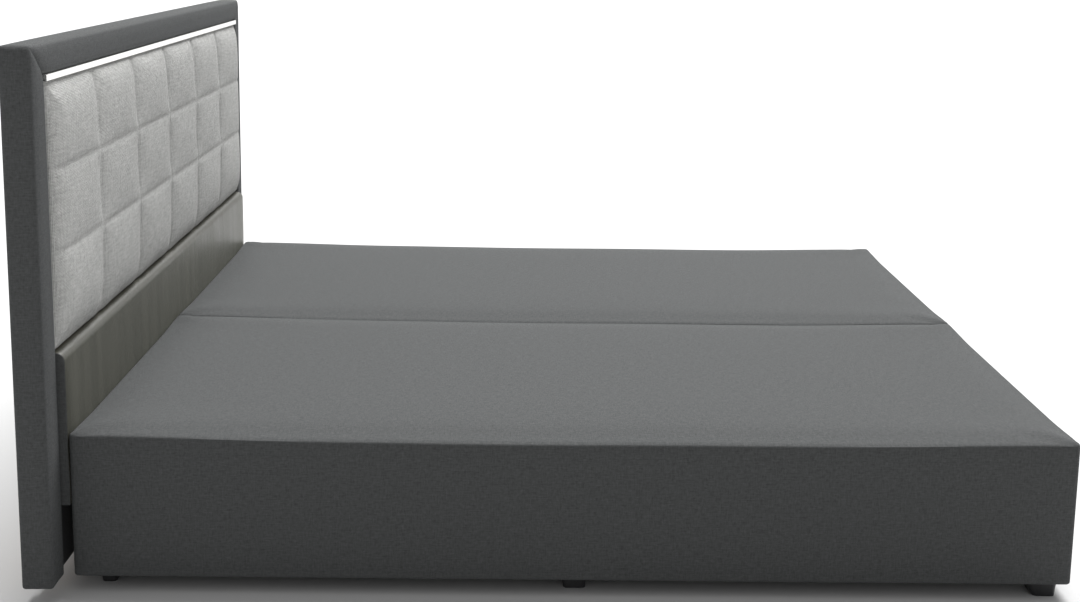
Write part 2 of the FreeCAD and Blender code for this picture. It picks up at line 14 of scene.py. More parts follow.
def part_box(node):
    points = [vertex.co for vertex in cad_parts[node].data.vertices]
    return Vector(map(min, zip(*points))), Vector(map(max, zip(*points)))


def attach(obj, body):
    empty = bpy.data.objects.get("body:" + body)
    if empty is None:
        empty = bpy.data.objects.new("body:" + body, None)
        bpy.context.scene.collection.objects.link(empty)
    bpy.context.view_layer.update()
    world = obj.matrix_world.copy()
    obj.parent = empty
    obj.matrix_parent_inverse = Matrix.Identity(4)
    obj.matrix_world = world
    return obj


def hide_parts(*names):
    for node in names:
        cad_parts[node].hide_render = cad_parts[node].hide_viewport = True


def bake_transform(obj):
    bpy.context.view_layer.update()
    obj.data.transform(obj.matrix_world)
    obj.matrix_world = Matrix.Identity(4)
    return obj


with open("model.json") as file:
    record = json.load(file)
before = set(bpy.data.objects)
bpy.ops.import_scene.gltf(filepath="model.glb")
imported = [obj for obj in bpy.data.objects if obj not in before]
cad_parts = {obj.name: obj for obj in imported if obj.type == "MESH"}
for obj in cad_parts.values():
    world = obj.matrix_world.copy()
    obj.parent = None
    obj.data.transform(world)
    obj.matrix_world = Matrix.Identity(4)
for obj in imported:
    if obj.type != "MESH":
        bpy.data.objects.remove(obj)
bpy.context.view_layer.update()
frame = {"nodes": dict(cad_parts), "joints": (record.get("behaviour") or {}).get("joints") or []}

# %% [markdown]
# ## Camera
# The camera stands low at the right-hand side of the bed, near the middle of its length, and looks
# across it. A normal lens keeps the sides nearly upright, and a small shift lets the camera stay
# almost level, so the posts don't lean.

# %% Camera
camera = bpy.data.objects.new("camera", bpy.data.cameras.new("camera"))
bpy.context.scene.collection.objects.link(camera)
camera.data.sensor_width = 36
camera.data.lens = 47.7
camera.data.shift_y = -0.12
STAND = (-0.0753, -3.5936, 1.3065)
PAN, TILT, ROLL = -0.0126, -0.1626, -0.0148
turn = Matrix.Rotation(PAN, 4, "Z") @ Matrix.Rotation(TILT, 4, "X")
turn = turn @ Matrix.Rotation(ROLL, 4, "Y") @ Matrix.Rotation(math.pi / 2, 4, "X")
camera.matrix_world = Matrix.Translation(STAND) @ turn
bpy.context.scene.camera = camera

# %% [markdown]
# ## Selecting and shaping
# Everything is made with the same operators a person would use. An operator acts on whatever is
# selected, so each helper first clears the selection and then picks faces, edges or points by their
# place. A block is a cube that is stretched and moved inside edit mode, which leaves the object
# itself at the origin. TOUCH is how near a point must be to a face to count as lying on it.

# %% Helpers for picking
TOUCH = 0.001


def alone(obj):
    """Selects one object and nothing else."""
    bpy.ops.object.select_all(action="DESELECT")
    obj.select_set(True)
    bpy.context.view_layer.objects.active = obj
    return obj


def pick(obj, kind, test):
    """Enters edit mode with the faces, edges or points that pass a test selected."""
    alone(obj)
    bpy.ops.object.mode_set(mode="EDIT")
    bpy.ops.mesh.select_mode(type=kind)
    bpy.ops.mesh.select_all(action="DESELECT")
    bpy.ops.object.mode_set(mode="OBJECT")
    mesh = obj.data
    if kind == "FACE":
        for face in mesh.polygons:
            face.select = bool(test(face.center, face.normal))
    elif kind == "EDGE":
        for edge in mesh.edges:
            a, b = (mesh.vertices[i].co for i in edge.vertices)
            edge.select = bool(test(a, b))
    else:
        for point in mesh.vertices:
            point.select = bool(test(point.co))
    bpy.ops.object.mode_set(mode="EDIT")


def done():
    """Leaves edit mode."""
    bpy.ops.object.mode_set(mode="OBJECT")


# %% Helpers for shaping
def block(name, low, high):
    """A cube stretched between two corners."""
    bpy.ops.object.select_all(action="DESELECT")
    bpy.ops.mesh.primitive_cube_add(size=1, location=(0, 0, 0))
    obj = bpy.context.object
    obj.name = obj.data.name = name
    low, high = Vector(low), Vector(high)
    bpy.ops.object.mode_set(mode="EDIT")
    bpy.ops.mesh.select_all(action="SELECT")
    bpy.ops.transform.resize(value=high - low)
    bpy.ops.transform.translate(value=(low + high) / 2)
    done()
    return obj


def round_edges(obj, test, radius, steps):
    """Rounds the edges that pass a test."""
    pick(obj, "EDGE", test)
    bpy.ops.mesh.bevel(offset=radius, segments=steps, affect="EDGES")
    done()


def runs_along(axis, longer=0.02):
    """A test for edges that run along one axis."""
    def test(a, b):
        span = b - a
        return abs(span[axis]) > longer and abs(span[axis]) > 0.999 * span.length
    return test


def slice_up(obj, axis, cuts, longer=0.02):
    """Cuts every long edge along an axis into cuts + 1 equal parts."""
    pick(obj, "EDGE", runs_along(axis, longer))
    bpy.ops.mesh.subdivide(number_cuts=cuts)
    done()


def saw(obj, axis, place, keep=0):
    """Cuts a mesh with a plane. keep is 0 for both sides, 1 for the far side, -1 for the near one."""
    pick(obj, "FACE", lambda centre, normal: True)
    normal = [0, 0, 0]
    normal[axis] = 1
    spot = [0, 0, 0]
    spot[axis] = place
    bpy.ops.mesh.bisect(plane_co=spot, plane_no=normal, use_fill=keep != 0,
                        clear_inner=keep == 1, clear_outer=keep == -1, threshold=1e-5)
    done()


def copy_of(obj, name, offset=(0, 0, 0)):
    """A copy with its own mesh, moved in edit mode."""
    alone(obj)
    bpy.ops.object.duplicate(linked=False)
    twin = bpy.context.object
    twin.name = twin.data.name = name
    bpy.ops.object.mode_set(mode="EDIT")
    bpy.ops.mesh.select_all(action="SELECT")
    bpy.ops.transform.translate(value=offset)
    done()
    return twin


def apply(obj, kind, name, **settings):
    """Adds a modifier, sets it and applies it."""
    alone(obj)
    bpy.ops.object.modifier_add(type=kind)
    modifier = obj.modifiers[-1]
    modifier.name = name
    for key, value in settings.items():
        setattr(modifier, key, value)
    bpy.ops.object.modifier_apply(modifier=name)


def smooth(obj, angle=40):
    """Shades a piece smooth, except over edges sharper than an angle in degrees."""
    alone(obj)
    bpy.ops.object.shade_smooth_by_angle(angle=math.radians(angle))


def move_points(obj, rule):
    """Moves every point by what a rule says for its place, as a sculpting hand would."""
    for point in obj.data.vertices:
        point.co += Vector(rule(point.co))


def lay_cloth(obj):
    """Unwraps in metres along the three axes, so that threads keep their size."""
    pick(obj, "FACE", lambda centre, normal: True)
    bpy.ops.uv.cube_project(cube_size=1.0, correct_aspect=False)
    done()
    obj.data.uv_layers[0].name = "thread"


def ease(t):
    """0 to 1 with a soft start and end."""
    t = max(0.0, min(1.0, t))
    return t * t * (3 - 2 * t)


# %% [markdown]
# ## Stuffing
# Foam under tight fabric isn't flat: it swells between the lines that hold it. Cloth with pressure
# does that by itself. Points with a weight near 1 are held, the rest may move, and what moved too
# far is eased back, because foam is firmer than air.

# %% Blow a cover up
FRAMES = 20


def stuff(obj, held, most, pressure=4.0):
    """Inflates a cover; held gives how firmly each point is held, most is the furthest it may move."""
    before = [point.co.copy() for point in obj.data.vertices]
    group = obj.vertex_groups.new(name="held")
    for point in obj.data.vertices:
        weight = held(point.co)
        if weight > 0:
            group.add([point.index], weight, "REPLACE")
    alone(obj)
    bpy.ops.object.modifier_add(type="CLOTH")
    cloth = obj.modifiers[-1]
    settings = cloth.settings
    settings.use_pressure = True
    settings.uniform_pressure_force = pressure
    settings.effector_weights.gravity = 0
    settings.vertex_group_mass = "held"
    settings.quality = 5
    cloth.collision_settings.use_collision = False
    cloth.point_cache.frame_start = 1
    cloth.point_cache.frame_end = FRAMES
    for number in range(1, FRAMES + 1):
        bpy.context.scene.frame_set(number)
    bpy.ops.object.modifier_apply(modifier=cloth.name)
    bpy.context.scene.frame_set(1)
    furthest = 0.0
    for point, start in zip(obj.data.vertices, before):
        step = point.co - start
        furthest = max(furthest, step.length)
        if step.length > 1e-9:
            point.co = start + step.normalized() * most * math.tanh(step.length / most)
    obj.vertex_groups.clear()
    print(obj.name, "moved up to", round(furthest, 4), "kept to", most)


# %% [markdown]
# ## Materials as sums
# A pattern is easier to read as a sum than as a web of nodes. Wire stands for one output socket, and
# adding or multiplying wires adds Math nodes. Any other node comes from one method that takes its
# type, its settings and what goes into its sockets.

# %% Wires and finishes
class Wire:
    """One output socket that can stand in a sum."""

    def __init__(self, finish, socket):
        self.finish = finish
        self.socket = socket

    def maths(self, operation, *others):
        sockets = {i: term for i, term in enumerate((self,) + others)}
        return self.finish.add("ShaderNodeMath", {"operation": operation}, sockets)

    def __add__(self, other):
        return self.maths("ADD", other)

    def __sub__(self, other):
        return self.maths("SUBTRACT", other)

    def __mul__(self, other):
        return self.maths("MULTIPLY", other)

    def __rsub__(self, other):
        return self * -1 + other

    __radd__ = __add__
    __rmul__ = __mul__


class Finish:
    """A material whose Principled shader gets fixed values here and patterns later."""

    def __init__(self, name, **fixed):
        self.material = bpy.data.materials.new(name)
        self.material.use_nodes = True
        self.tree = self.material.node_tree
        self.skin = self.tree.nodes["Principled BSDF"]
        for socket, value in fixed.items():
            self.skin.inputs[socket.replace("_", " ")].default_value = value

    def add(self, kind, settings=None, sockets=None, out=0):
        node = self.tree.nodes.new(kind)
        for key, value in (settings or {}).items():
            setattr(node, key, value)
        for key, value in (sockets or {}).items():
            self.feed(node.inputs[key], value)
        return Wire(self, node.outputs[out])

    def feed(self, socket, value):
        if isinstance(value, Wire):
            self.tree.links.new(value.socket, socket)
        else:
            socket.default_value = value

    def place(self):
        """Where a point is on the piece, in metres."""
        return self.add("ShaderNodeTexCoord", out="Object")

    def stretched(self, vector, scale):
        return self.add("ShaderNodeMapping", None, {"Vector": vector, "Scale": scale})

    def noise(self, vector, scale, detail=2.0, rough=0.5):
        sockets = {"Vector": vector, "Scale": scale, "Detail": detail, "Roughness": rough}
        return self.add("ShaderNodeTexNoise", None, sockets)

    def between(self, amount, first, second):
        """A colour between two colours."""
        sockets = {0: amount, 6: first, 7: second}
        settings = {"data_type": "RGBA", "clamp_factor": True}
        return self.add("ShaderNodeMix", settings, sockets, out=2)

    def spread(self, value, low, high, to_low=0.0, to_high=1.0):
        """Stretches a range of values to another and clips what lies outside."""
        sockets = {0: value, 1: low, 2: high, 3: to_low, 4: to_high}
        return self.add("ShaderNodeMapRange", {"clamp": True}, sockets)

    def colour(self, value):
        self.feed(self.skin.inputs["Base Color"], value)

    def rough(self, value):
        self.feed(self.skin.inputs["Roughness"], value)

    def relief(self, height, depth):
        """Fine relief, depth in metres."""
        sockets = {"Height": height, "Distance": depth, "Strength": 1.0}
        bump = self.add("ShaderNodeBump", None, sockets)
        self.feed(self.skin.inputs["Normal"], bump)


def grey(value):
    """A colour of one brightness without a tint."""
    return (value, value, value, 1)


# %% [markdown]
# ## Floor and light
# A studio: a wide pale floor, a bright room all round and one soft lamp overhead. The room lights the
# object less than it shows, as white paper far behind the bed would, so the top of the boxes stays
# lighter than their sides.

# %% Floor and room
bpy.context.scene.view_settings.view_transform = "Standard"
bpy.ops.object.select_all(action="DESELECT")
bpy.ops.mesh.primitive_plane_add(size=80, location=(0, 0, 0))
floor = bpy.context.object
floor.name = "floor"
paper = Finish("floor_paper", Roughness=0.9)
paper.colour(paper.between(paper.noise(paper.place(), 0.6), grey(0.46), grey(0.48)))
floor.data.materials.append(paper.material)

room = bpy.data.worlds.new("room")
bpy.context.scene.world = room
room.use_nodes = True
ROOM_SHOWN = 1.0
ROOM_GIVEN = 0.62
back = room.node_tree.nodes["Background"]
back.inputs["Color"].default_value = (1, 1, 1, 1)
rays = room.node_tree.nodes.new("ShaderNodeLightPath")
level = room.node_tree.nodes.new("ShaderNodeMapRange")
level.inputs["To Min"].default_value = ROOM_SHOWN
level.inputs["To Max"].default_value = ROOM_GIVEN
room.node_tree.links.new(rays.outputs["Is Diffuse Ray"], level.inputs["Value"])
room.node_tree.links.new(level.outputs["Result"], back.inputs["Strength"])


# %% Lamp
def lamp(name, towards, strength, spread):
    """A far soft lamp that shines along a direction."""
    light = bpy.data.lights.new(name, "SUN")
    light.energy = strength
    light.angle = math.radians(spread)
    obj = bpy.data.objects.new(name, light)
    bpy.context.scene.collection.objects.link(obj)
    obj.rotation_euler = Vector(towards).to_track_quat("-Z", "Y").to_euler()


lamp("overhead", towards=(-0.20, -0.50, -1.0), strength=6.5, spread=45)

# %% [markdown]
# ## Dark cover fabric
# The boxes and the posts wear one dark grey melange: a plain weave of yarns that are each a slightly
# different grey. The weave is built from the thread's own coordinates in metres. Streaks along the
# warp and the weft give the melange, rounded yarns that pass over and under give the relief, and the
# hollows between the yarns get a painted shade.

# %% Woven finishes
def woven(name, dark, light, yarn, contrast, fuzz, relief, mottle):
    """A plain weave. yarn is the width of one yarn and relief its height, both in metres."""
    cloth = Finish(name, Roughness=0.9, Sheen_Weight=fuzz, Sheen_Roughness=0.45,
                   Sheen_Tint=(0.9, 0.93, 1, 1), IOR=1.35)
    flat = cloth.add("ShaderNodeUVMap", {"uv_map": "thread"})
    split = [cloth.add("ShaderNodeSeparateXYZ", None, {0: flat}, out=i) for i in (0, 1)]
    counts = [wire * (1 / yarn) for wire in split]
    over = (counts[0].maths("FLOOR") + counts[1].maths("FLOOR")).maths("PINGPONG", 1.0)
    bulge = [(count.maths("FRACT") * math.pi).maths("SINE") for count in counts]
    warp_top = bulge[0] * (bulge[1] * 0.45 + 0.55)
    weft_top = bulge[1] * (bulge[0] * 0.45 + 0.55)
    height = warp_top * over + weft_top * (1 - over)
    warp = cloth.noise(cloth.stretched(flat, (1 / yarn, 0.16 / yarn, 1)), 0.5, 1.0)
    weft = cloth.noise(cloth.stretched(flat, (0.16 / yarn, 1 / yarn, 1)), 0.5, 1.0)
    melange = warp * over + weft * (1 - over)
    patch = cloth.noise(flat, mottle, 3.0, 0.6)
    slub = cloth.noise(cloth.stretched(flat, (60, 260, 1)), 1.0, 2.0)
    shade = (melange - 0.5) * contrast + (patch - 0.5) * 0.7 + (slub - 0.5) * 0.3 + 0.5
    # Painted shade: the colour is darker where the yarn dips, in the hollows between the yarns.
    shade = shade - (1 - height) * 0.18 + 0.06
    cloth.colour(cloth.between(cloth.spread(shade, 0.0, 1.0), dark, light))
    cloth.rough(cloth.spread(shade, 0.0, 1.0, 0.97, 0.86))
    cloth.relief(height + patch * 0.6, relief)
    return cloth.material


cover_dark = woven("dark_melange", (0.033, 0.0345, 0.0345, 1), (0.083, 0.086, 0.086, 1),
                   yarn=0.0013, contrast=1.1, fuzz=0.04, relief=0.0004, mottle=170)
cover_light = woven("light_chenille", (0.27, 0.27, 0.26, 1), (0.56, 0.56, 0.545, 1),
                    yarn=0.0028, contrast=1.3, fuzz=0.05, relief=0.0012, mottle=170)
print("fabrics ready")

# %% [markdown]
# ## Other finishes
# The smooth panel is a tight satin with a dull shine, the strip is bright aluminium, and the hard
# parts underneath are spruce, birch plywood, black powder coat, zinc, ground steel and moulded
# plastic. Each gets its grain or flow from stretched noise on its own place.

# %% Satin and bright metal
def satin(name):
    cloth = Finish(name, Sheen_Weight=0.08, Sheen_Roughness=0.3, Sheen_Tint=(0.9, 0.92, 0.8, 1),
                   IOR=1.5)
    spot = cloth.place()
    streak = cloth.noise(cloth.stretched(spot, (8, 26, 1.5)), 1.0, 3.0)
    fine = cloth.noise(cloth.stretched(spot, (300, 900, 140)), 1.0, 2.0)
    shade = streak * 0.7 + fine * 0.3
    cloth.colour(cloth.between(cloth.spread(shade, 0.3, 0.7), (0.030, 0.030, 0.022, 1),
                               (0.052, 0.051, 0.039, 1)))
    cloth.rough(cloth.spread(streak, 0.3, 0.7, 0.34, 0.46))
    cloth.relief(fine + streak * 2.0, 0.0006)
    return cloth.material


def brushed(name, colour, low, high, grain, relief=0.00004):
    """Metal with fine lines along one direction; low and high are its roughness."""
    steel = Finish(name, Metallic=1.0)
    line = steel.noise(steel.stretched(steel.place(), grain), 1.0, 3.0, 0.6)
    cloud = steel.noise(steel.place(), 9.0, 3.0)
    steel.colour(steel.between(steel.spread(cloud, 0.3, 0.7), colour,
                               tuple(c * 0.86 for c in colour[:3]) + (1,)))
    steel.rough(steel.spread(line * 0.7 + cloud * 0.3, 0.3, 0.7, low, high))
    steel.relief(line, relief)
    return steel.material


cover_satin = satin("olive_satin")
trim_metal = brushed("bright_aluminium", (0.97, 0.965, 0.94, 1), 0.16, 0.30, (900, 3, 900))
zinc_steel = brushed("zinc_plate", (0.56, 0.58, 0.60, 1), 0.28, 0.48, (60, 60, 60),
                     relief=0.00003)
rod_steel = brushed("ground_steel", (0.62, 0.63, 0.64, 1), 0.12, 0.24, (30, 900, 30),
                    relief=0.00002)


# %% Wood
def timber(name, light, dark, grain, layers=0):
    """Long grain with rings and pores; layers adds the glued edge lines of plywood."""
    wood = Finish(name, IOR=1.45)
    spot = wood.place()
    wander = wood.noise(wood.stretched(spot, grain), 0.7, 4.0, 0.55)
    rings = (wander * 26.0).maths("SINE") * 0.5 + 0.5
    pores = wood.noise(wood.stretched(spot, tuple(g * 14 for g in grain)), 1.0, 2.0)
    shade = rings * 0.5 + wander * 0.3 + pores * 0.35
    if layers:
        height = wood.add("ShaderNodeSeparateXYZ", None, {0: spot}, out=2)
        glue = (height * layers * 2 * math.pi).maths("SINE") * 0.5 + 0.5
        normal = wood.add("ShaderNodeTexCoord", out="Normal")
        upward = wood.add("ShaderNodeSeparateXYZ", None, {0: normal}, out=2).maths("ABSOLUTE")
        edge = 1 - wood.spread(upward, 0.3, 0.6)
        shade = shade + glue * edge * 0.45
    wood.colour(wood.between(wood.spread(shade, 0.15, 1.05), light, dark))
    wood.rough(wood.spread(pores, 0.3, 0.7, 0.52, 0.72))
    wood.relief(pores + rings * 0.4, 0.0003)
    return wood.material


frame_wood = timber("spruce", (0.60, 0.43, 0.26, 1), (0.36, 0.22, 0.11, 1), (2.0, 30, 30))
spruce_across = timber("spruce_across", (0.60, 0.43, 0.26, 1), (0.36, 0.22, 0.11, 1), (30, 2.0, 30))
plywood = timber("birch_plywood", (0.66, 0.50, 0.33, 1), (0.43, 0.29, 0.16, 1), (2.2, 24, 60), 500)


# %% Powder coat, plastic and dust cloth
FLECK = 0.018


def speckled(name, colour, low, high, grain, depth):
    """A moulded or sprayed skin: even colour, fine orange peel and soft patches of wear."""
    skin = Finish(name, IOR=1.48)
    peel = skin.noise(skin.place(), grain, 2.0)
    patch = skin.noise(skin.place(), 12.0, 4.0, 0.6)
    lighter = tuple(c + FLECK for c in colour[:3]) + (1,)
    skin.colour(skin.between(skin.spread(patch * 0.7 + peel * 0.3, 0.35, 0.75), colour, lighter))
    skin.rough(skin.spread(patch, 0.3, 0.7, low, high))
    skin.relief(peel, depth)
    return skin.material


frame_steel = speckled("black_powder_coat", (0.018, 0.019, 0.020, 1), 0.42, 0.58, 900, 0.00012)
motor_plastic = speckled("dark_moulding", (0.030, 0.031, 0.033, 1), 0.38, 0.52, 1400, 0.00008)
foot_plastic = speckled("black_foot_plastic", (0.008, 0.008, 0.009, 1), 0.34, 0.5, 1200, 0.00006)


def felt(name, dark, light):
    """Spun dust cloth: pressed fibres with small dimples, and no weave."""
    cloth = Finish(name, Roughness=0.95, Sheen_Weight=0.1, IOR=1.3)
    flat = cloth.add("ShaderNodeUVMap", {"uv_map": "thread"})
    fibre = cloth.noise(flat, 420, 4.0, 0.7)
    cell = cloth.add("ShaderNodeTexVoronoi", {"feature": "F1"}, {"Vector": flat, "Scale": 520.0})
    cloud = cloth.noise(flat, 7.0, 3.0)
    shade = fibre * 0.5 + cell * 0.3 + cloud * 0.4
    cloth.colour(cloth.between(cloth.spread(shade, 0.3, 0.95), dark, light))
    cloth.relief(cell + fibre * 0.5, 0.0003)
    return cloth.material


dust_fabric = felt("dust_cloth", (0.010, 0.010, 0.011, 1), (0.040, 0.040, 0.043, 1))
print("hard finishes ready")

# %% [markdown]
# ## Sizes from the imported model
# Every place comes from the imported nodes. The two boxes are the same, so one is described and the
# other is a copy moved across.

# %% Sizes
SIDES = ("right", "left")
wall_low, wall_high = (Vector(corner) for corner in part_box("right_wall_covers"))
HEAD, FOOT = wall_low.x, wall_high.x
NEAR, FAR = wall_low.y, wall_high.y
MIDDLE = (NEAR + FAR) / 2
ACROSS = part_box("left_wall_covers")[0][1] - NEAR
BOTTOM, DECK_TOP = wall_low.z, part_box("right_back_pad")[1][2]
hinge_at = {joint["name"]: joint.get("pos_m") for joint in frame["joints"]}
HIP = hinge_at["right_back_hinge"][0]
SEAT_END = hinge_at["right_thigh_hinge"][0]
KNEE = hinge_at["right_calf_hinge"][0]
CORNER = 0.012
SKIRT = 0.2908
print("box", HEAD, FOOT, NEAR, FAR, "hinges", HIP, SEAT_END, KNEE)


# %% A faint unevenness that all the fabrics share
def unevenness(place):
    """A millimetre of rise and fall, the same wherever two covers meet."""
    x, y, z = place
    wave = math.sin(3.1 * x + 1.7 * y + 5.3 * z) + math.sin(7.3 * x - 4.1 * z + 0.6)
    return 0.0005 * (wave + math.sin(11.7 * x + 9.1 * z + 2.0) * 0.6)


# %% [markdown]
# ## Wall covers
# Around each wooden box the cover is stretched over thin foam: soft upright corners, and a hem that
# shows as a faint line just above the lower edge. The shell is cut from a block: its corners are
# rounded, its top and bottom are taken away, and its skin is thickened inwards.

# %% Wall covers
FOAM = 0.012
HEM = 0.015
HEM_HALF = 0.004
HEM_DEPTH = 0.0009
JOIN = 0.0001


def outer(place):
    """Whether a point lies on the outer skin of the right-hand box."""
    inside = FOAM * 0.5
    return not (HEAD + inside < place.x < FOOT - inside and NEAR + inside < place.y < FAR - inside)


def hem(place):
    """Draws the outer skin in along the line of the hem."""
    out = -HEM_DEPTH if abs(place.z - BOTTOM - HEM) < 0.002 else 0.0
    side = Vector((0, 0, 0))
    if place.y < NEAR + TOUCH:
        side.y = -out
    if place.x > FOOT - TOUCH:
        side.x = out
    if place.x < HEAD + TOUCH:
        side.x = -out
    if place.y > FAR - TOUCH:
        side.y = out
    return side


def wall_cover(name):
    walls = block(name, wall_low, (FOOT, FAR, SKIRT - JOIN))
    round_edges(walls, runs_along(2), CORNER, 6)
    for height in (BOTTOM + HEM - HEM_HALF, BOTTOM + HEM, BOTTOM + HEM + HEM_HALF):
        saw(walls, 2, height)
    for axis, cuts in ((0, 9), (0, 5), (1, 5), (1, 3)):
        slice_up(walls, axis, cuts)
    slice_up(walls, 2, 7, 0.1)
    pick(walls, "FACE", lambda centre, normal: abs(normal.z) > 0.9)
    bpy.ops.mesh.delete(type="FACE")
    done()
    apply(walls, "SOLIDIFY", "thickness", thickness=FOAM, offset=-1, use_even_offset=True)
    move_points(walls, hem)
    round_edges(walls, lambda a, b: max(a.z, b.z) < BOTTOM + 0.0001 and outer(a) and outer(b),
                0.004, 3)
    return walls


walls = wall_cover("right_wall_fabric")
lay_cloth(walls)
walls.data.materials.append(cover_dark)
smooth(walls, 50)
other = copy_of(walls, "left_wall_fabric", (0, ACROSS, 0))
for side, piece in zip(SIDES, (walls, other)):
    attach(piece, "root")
    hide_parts(f"{side}_wall_covers")
print("wall covers", len(walls.data.polygons), "faces each")

# %% [markdown]
# ## Deck covers
# The top of each box is the moving deck under one stretched cover. A block with rounded edges is
# gridded, hollowed below so that the boards show from underneath, and blown up with Cloth: the middle
# swells, the long edges stay low, and the corners are pulled tight. From LOOSE_FROM upwards the
# fabric may relax. Then the cover is sawn across at the hinges. Each moving panel takes its own part;
# the short strips between them are baked in place and follow no part.

# %% Shape and stuff one deck cover
CROWN = 0.006
EDGE = DECK_TOP - 0.004
EDGE_RADIUS = 0.010
RIM = 0.025
BOARD_ROOM = 0.0124


def deck_cover(name):
    deck = block(name, (HEAD, NEAR, SKIRT), (FOOT, FAR, EDGE))
    round_edges(deck, runs_along(2), CORNER, 6)
    round_edges(deck, lambda a, b: min(a.z, b.z) > EDGE - TOUCH, EDGE_RADIUS, 5)
    pick(deck, "FACE", lambda centre, normal: normal.z < -0.9)
    bpy.ops.mesh.inset(thickness=RIM)
    bpy.ops.transform.translate(value=(0, 0, BOARD_ROOM))
    done()
    slice_up(deck, 0, 9)
    slice_up(deck, 0, 13, 0.05)
    slice_up(deck, 1, 5, 0.1)
    slice_up(deck, 1, 10, 0.05)
    return deck


def pulled_down(place):
    """Holds the skirt firmly and the top hardly at all."""
    return 1 - ease((place.z - EDGE + 0.009) / 0.008) * 0.97


deck = deck_cover("deck_cover")
print("deck grid", len(deck.data.vertices), "points")
stuff(deck, pulled_down, CROWN, 0.9)
CORNER_LIFT = 0.0045
EDGE_SAG = 0.0030
LOOSE_FROM = 0.308


def settle(place):
    """Keeps the cover inside its box, lifts its four corners and lets the fabric relax a little."""
    x = min(max(place.x, HEAD), FOOT)
    y = min(max(place.y, NEAR), FAR)
    top = ease((place.z - LOOSE_FROM) / 0.012)
    ends = abs(place.x - (HEAD + FOOT) / 2) / ((FOOT - HEAD) / 2)
    edge = abs(place.y - MIDDLE) / ((FAR - NEAR) / 2)
    lift = CORNER_LIFT * ease((ends - 0.55) / 0.45) * ease((edge - 0.6) / 0.4)
    lift -= EDGE_SAG * ease((edge - 0.5) / 0.5) * (1 - ease((ends - 0.2) / 0.7))
    return (x - place.x, y - place.y, top * (lift + unevenness(place)))


move_points(deck, settle)
lay_cloth(deck)
deck.data.materials.append(cover_dark)

# %% [markdown]
# Where the deck folds, the fabric is longer than the foam under it, so the strip at each hinge reaches
# further onto the moving panel than onto the fixed one.

# %% Saw the deck cover at the hinges
ON_MOVING = 0.068
ON_FIXED = 0.022
AT_KNEE = 0.045
PARTS = [
    ("back_cover", HEAD - 1, HIP - ON_MOVING, ("back",)),
    ("hip_bend", HIP - ON_MOVING, HIP + ON_FIXED, ("root", "back")),
    ("seat_cover", HIP + ON_FIXED, SEAT_END - ON_FIXED, ("root",)),
    ("thigh_bend", SEAT_END - ON_FIXED, SEAT_END + ON_MOVING, ("root", "thigh")),
    ("thigh_cover", SEAT_END + ON_MOVING, KNEE - AT_KNEE, ("thigh",)),
    ("knee_bend", KNEE - AT_KNEE, KNEE + AT_KNEE, ("thigh", "calf")),
    ("calf_cover", KNEE + AT_KNEE, FOOT + 1, ("calf",)),
]


def body_of(side, part):
    return "root" if part == "root" else f"{side}_{part}"


for side, offset in zip(SIDES, (0, ACROSS)):
    for part, start, end, bodies in PARTS:
        piece = copy_of(deck, f"{side}_{part}", (0, offset, 0))
        if start > HEAD:
            saw(piece, 0, start, keep=1)
        if end < FOOT:
            saw(piece, 0, end, keep=-1)
        smooth(piece, 50)
        if part == "hip_bend":
            body_of(side, "back")
            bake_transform(piece)
        elif len(bodies) == 2:
            first, second = (body_of(side, body) for body in bodies)
            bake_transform(piece)
        else:
            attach(piece, body_of(side, bodies[0]))
            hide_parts(f"{side}_{part.replace('cover', 'pad')}")
bpy.data.objects.remove(deck)
print("deck covers sawn into", len(PARTS), "parts each")

# %% [markdown]
# ## Headboard posts and top rail
# The frame of the headboard is timber wrapped in foam and the dark fabric. Post and rail meet in a
# mitre, where the cover is folded in, so each part is a padded bar whose end is sawn at the slope of
# the mitre. Cloth rounds the bars a little.

# %% Posts
post_low, post_high = (Vector(corner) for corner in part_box("headboard_posts"))
rail_low, rail_high = (Vector(corner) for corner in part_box("headboard_top_rail"))
panel_low, panel_high = (Vector(corner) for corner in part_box("headboard_tufted_panel"))
OUTER = post_high.y
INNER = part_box("headboard_panel_board")[1][1]
REAR, FRONT = post_low.x, post_high.x
RAIL_LOW, RAIL_TOP = rail_low.z, rail_high.z
BAR_RADIUS = 0.007
FOLD_DIP, FOLD_HALF = 0.0035, 0.006
BULGE, BULGE_AT, BULGE_HALF = 0.003, 1.072, 0.02


def mitre(piece, corner, slope, keep):
    """Saws a bar along the fold between post and rail."""
    pick(piece, "FACE", lambda centre, normal: True)
    bpy.ops.mesh.bisect(plane_co=corner, plane_no=slope, use_fill=True, threshold=1e-5,
                        clear_inner=keep == 1, clear_outer=keep == -1)
    done()


rise = RAIL_TOP - RAIL_LOW
run = OUTER - INNER
post = block("right_post_cover", (REAR, -OUTER, post_low.z), (FRONT, -INNER, RAIL_TOP))
round_edges(post, lambda a, b: True, BAR_RADIUS, 4)
slice_up(post, 2, 9, 0.05)
slice_up(post, 2, 7, 0.05)
slice_up(post, 0, 4)
slice_up(post, 1, 4)
stuff(post, lambda place: 1 if place.x < REAR + 0.006 or place.y > -INNER - 0.004 else 0, 0.0016)
mitre(post, (FRONT, -INNER, RAIL_LOW), (0, rise, run), -1)


def pull_in(place):
    """The cover dips into the fold and bulges behind it."""
    height = place.z - RAIL_LOW
    across = -INNER - place.y
    from_fold = abs(height * run - across * rise) / math.hypot(rise, run)
    dip = bulge = 0
    if place.x > FRONT - 0.012:
        dip = FOLD_DIP * math.exp(-from_fold / FOLD_HALF)
    if place.x < REAR + 0.02:
        bulge = BULGE * math.exp(-((place.z - BULGE_AT) / BULGE_HALF) ** 2)
    return (-dip - bulge, 0, 0)


move_points(post, pull_in)
lay_cloth(post)
post.data.materials.append(cover_dark)
smooth(post, 50)

# %% [markdown]
# The left post is the right one turned over. A mirror turns faces inside out, so the normals are
# made to point outwards again afterwards.

